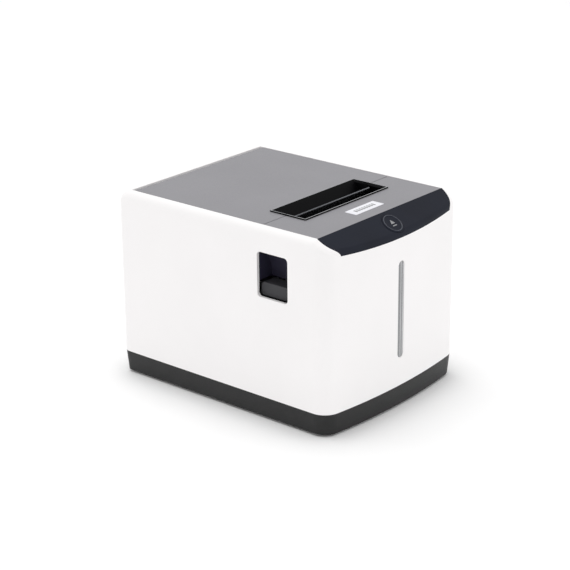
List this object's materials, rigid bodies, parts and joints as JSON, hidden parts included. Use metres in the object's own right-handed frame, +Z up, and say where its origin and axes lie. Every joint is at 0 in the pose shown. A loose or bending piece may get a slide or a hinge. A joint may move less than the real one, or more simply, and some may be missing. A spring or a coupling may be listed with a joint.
{
  "type": "thermal receipt printer",
  "caption": "Desktop thermal receipt printer with a drop-in roll bay, rear-hinged lid carrying the platen, side release lever and front light bar.",
  "frame": {"origin": "middle of the footprint, on the plane of the rubber feet", "axes": "+Z up, the front with the control panel and light bar faces -Y, +X to the right seen from the front"},
  "size_m": [0.146, 0.192, 0.1375],
  "materials": {
    "shell_white": "satin injection-moulded ABS, fine spark texture",
    "cover_grey": "satin injection-moulded ABS, mid grey",
    "base_dark": "matte charcoal ABS",
    "panel_navy": "satin dark blue-grey ABS",
    "bezel_black": "gloss black ABS",
    "label_white": "blank printed film",
    "lens_grey": "translucent grey acrylic",
    "lever_dark": "matte dark grey acetal",
    "pocket_black": "matte black ABS",
    "sheet_steel": "zinc-plated pressed sheet steel",
    "turned_steel": "ground and turned steel",
    "spring_steel": "drawn spring wire",
    "screw_steel": "zinc-plated screws",
    "blade_steel": "ground stainless strip",
    "heat_sink_aluminium": "extruded and milled aluminium",
    "head_ceramic": "glazed alumina strip",
    "platen_rubber": "ground silicone rubber",
    "gear_acetal": "natural white moulded acetal",
    "inner_black": "matte black ABS",
    "board_green": "green solder-masked glass epoxy",
    "part_black": "moulded black epoxy",
    "can_aluminium": "sleeved aluminium can",
    "socket_ivory": "ivory nylon connector",
    "cable_film": "polyimide film with copper tracks",
    "foot_rubber": "moulded rubber"
  },
  "bodies": {
    "base": {"base_tray": "base_dark", "shell": "shell_white", "front_cover": "cover_grey", "control_panel": "panel_navy", "front_bezel": "bezel_black", "tear_bar": "blade_steel", "front_label": "label_white", "light_bar": "lens_grey", "light_board": "board_green", "lever_pocket": "pocket_black", "chassis": "sheet_steel", "post_screws": "screw_steel", "paper_chute": "inner_black", "paper_sensor": "part_black", "spring_plate": "sheet_steel", "head_springs": "spring_steel", "latch_spring": "spring_steel", "gear_studs": "turned_steel", "motor": "sheet_steel", "gear_cover": "inner_black", "roll_bay": "inner_black", "guide_screw": "screw_steel", "main_board": "board_green", "board_screws": "screw_steel", "board_chips": "part_black", "board_capacitors": "can_aluminium", "board_sockets": "socket_ivory", "rear_board": "board_green", "power_socket": "part_black", "usb_socket": "socket_ivory", "drawer_socket": "part_black", "switch_body": "part_black", "key_board": "board_green", "cover_switch": "part_black", "head_cable": "cable_film", "rubber_feet": "foot_rubber", "case_screws": "screw_steel", "hinge_pins": "turned_steel"},
    "lid": {"lid": "cover_grey", "lid_liner": "inner_black", "platen_holder": "inner_black", "lid_bezel": "bezel_black", "platen_bushings": "gear_acetal"},
    "platen": {"platen_rubber": "platen_rubber", "platen_shaft": "turned_steel", "platen_gear": "gear_acetal"},
    "reduction": {"reduction_gear": "gear_acetal"},
    "idler": {"idler_gear": "gear_acetal"},
    "pinion": {"motor_pinion": "turned_steel"},
    "latch": {"release_lever": "lever_dark", "latch_shaft": "turned_steel", "latch_hooks": "sheet_steel"},
    "head": {"heat_sink": "heat_sink_aluminium", "print_head": "head_ceramic", "head_pivot": "turned_steel"},
    "key": {"feed_key": "panel_navy"},
    "rocker": {"power_rocker": "part_black"},
    "left_guide": {"guide_left": "lever_dark"},
    "right_guide": {"guide_right": "lever_dark"},
    "guide_gear": {"guide_pinion": "gear_acetal"}
  },
  "joints": [
    {"name": "lid_hinge", "type": "hinge", "parent": "base", "child": "lid", "pos_m": [0, 0.0814, 0.133], "axis": [-1, 0, 0], "range_deg": [0, 95]},
    {"name": "platen_spin", "type": "hinge", "parent": "lid", "child": "platen", "pos_m": [0, -0.0253, 0.1165], "axis": [1, 0, 0], "continuous": true},
    {"name": "reduction_spin", "type": "hinge", "parent": "base", "child": "reduction", "pos_m": [0, -0.0231, 0.10227], "axis": [1, 0, 0], "continuous": true},
    {"name": "idler_spin", "type": "hinge", "parent": "base", "child": "idler", "pos_m": [0, -0.02523, 0.08319], "axis": [1, 0, 0], "continuous": true},
    {"name": "motor_spin", "type": "hinge", "parent": "base", "child": "pinion", "pos_m": [0, -0.03, 0.0735], "axis": [1, 0, 0], "continuous": true},
    {"name": "latch_turn", "type": "hinge", "parent": "base", "child": "latch", "pos_m": [0, -0.027, 0.0915], "axis": [1, 0, 0], "range_deg": [0, 12], "stiffness_Nm_per_rad": 0.6, "springref_deg": -2.86, "deforming": ["latch_spring"]},
    {"name": "head_tilt", "type": "hinge", "parent": "base", "child": "head", "pos_m": [0, -0.03178, 0.09627], "axis": [1, 0, 0], "range_deg": [0, 3], "stiffness_Nm_per_rad": 8, "springref_deg": -1.15, "deforming": ["head_springs", "head_cable"]},
    {"name": "feed_key_press", "type": "slide", "parent": "base", "child": "key", "axis": [0, 0.5448, -0.8386], "range_m": [0, 0.0008], "stiffness_N_per_m": 800, "springref_m": -0.0004},
    {"name": "power_rocker_tilt", "type": "hinge", "parent": "base", "child": "rocker", "pos_m": [0.05075, 0.0936, 0.033], "axis": [1, 0, 0], "range_deg": [0, 22]},
    {"name": "left_guide_slide", "type": "slide", "parent": "base", "child": "left_guide", "axis": [1, 0, 0], "range_m": [0, 0.011]},
    {"name": "right_guide_slide", "type": "slide", "parent": "base", "child": "right_guide", "axis": [-1, 0, 0], "range_m": [0, 0.011]},
    {"name": "guide_gear_spin", "type": "hinge", "parent": "base", "child": "guide_gear", "pos_m": [0, 0.035, 0.0144], "axis": [0, 0, 1], "range_deg": [0, 105.04]}
  ],
  "couplings": [
    {"joint": "reduction_spin", "follows": "platen_spin", "ratio": -2},
    {"joint": "idler_spin", "follows": "platen_spin", "ratio": 3.3333},
    {"joint": "motor_spin", "follows": "platen_spin", "ratio": -6.6667},
    {"joint": "right_guide_slide", "follows": "left_guide_slide", "ratio": 1},
    {"joint": "guide_gear_spin", "follows": "left_guide_slide", "rad_per_m": 166.67}
  ]
}
